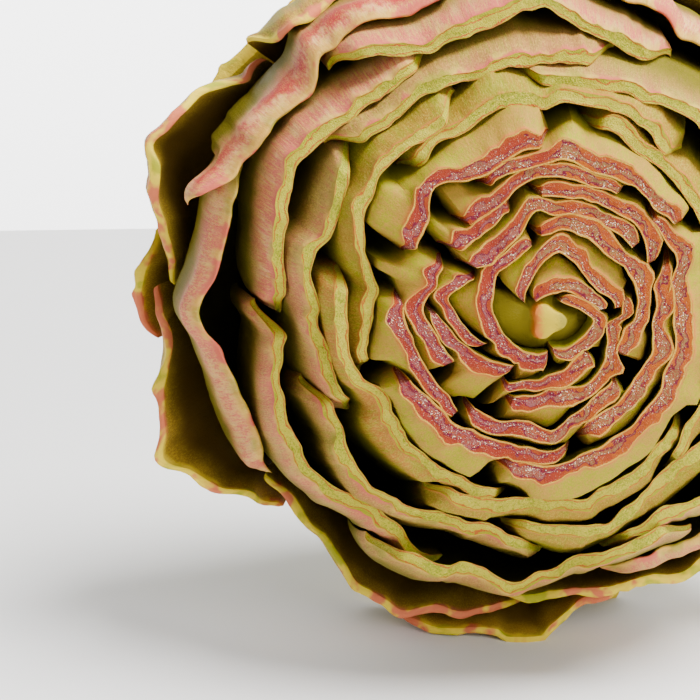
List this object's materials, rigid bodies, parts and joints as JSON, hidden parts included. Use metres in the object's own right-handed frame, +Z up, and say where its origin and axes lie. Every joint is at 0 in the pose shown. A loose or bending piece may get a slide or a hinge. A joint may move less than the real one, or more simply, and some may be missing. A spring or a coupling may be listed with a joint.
{
  "type": "artichoke",
  "caption": "Globe artichoke with its top cut off flat, lying on its side, pink cut ends in rings round a yellow bud.",
  "frame": {"origin": "on the surface, under the middle of the head as it lies", "axes": "+Z up, the cut top faces -Y and looks up by 6 degrees, the stem points to +Y"},
  "size_m": [0.1249, 0.0832, 0.1191],
  "materials": {
    "heart": "matte",
    "inner_bract": "matte",
    "green_bract": "satin",
    "middle_bract": "satin",
    "outer_bract": "satin"
  },
  "bodies": {
    "root": {"heart": "heart", "bud": "inner_bract", "inner_01": "inner_bract", "inner_02": "inner_bract", "inner_03": "inner_bract", "inner_04": "inner_bract", "inner_05": "inner_bract", "inner_06": "inner_bract", "inner_07": "inner_bract", "inner_08": "inner_bract", "inner_09": "inner_bract", "inner_10": "inner_bract", "inner_11": "inner_bract", "inner_12": "inner_bract", "inner_13": "inner_bract", "inner_14": "inner_bract", "inner_15": "inner_bract", "inner_16": "inner_bract", "inner_17": "inner_bract", "inner_18": "inner_bract", "inner_19": "inner_bract", "green_01": "green_bract", "green_02": "green_bract", "green_03": "green_bract", "green_04": "green_bract", "green_05": "green_bract", "green_06": "green_bract", "green_07": "green_bract", "middle_01": "middle_bract", "middle_02": "middle_bract", "middle_03": "middle_bract", "middle_04": "middle_bract", "middle_05": "middle_bract", "middle_06": "middle_bract", "middle_07": "middle_bract", "middle_08": "middle_bract", "middle_09": "middle_bract", "middle_10": "middle_bract", "middle_11": "middle_bract", "middle_12": "middle_bract", "middle_13": "middle_bract", "middle_14": "middle_bract", "middle_15": "middle_bract", "outer_01": "outer_bract", "outer_03": "outer_bract", "outer_04": "outer_bract", "outer_05": "outer_bract", "outer_02": "outer_bract", "outer_06": "outer_bract", "outer_07": "outer_bract", "outer_08": "outer_bract", "outer_09": "outer_bract", "outer_10": "outer_bract", "outer_11": "outer_bract", "basal_01": "outer_bract", "basal_02": "outer_bract", "basal_03": "outer_bract", "basal_04": "outer_bract", "basal_05": "outer_bract"}
  },
  "joints": []
}
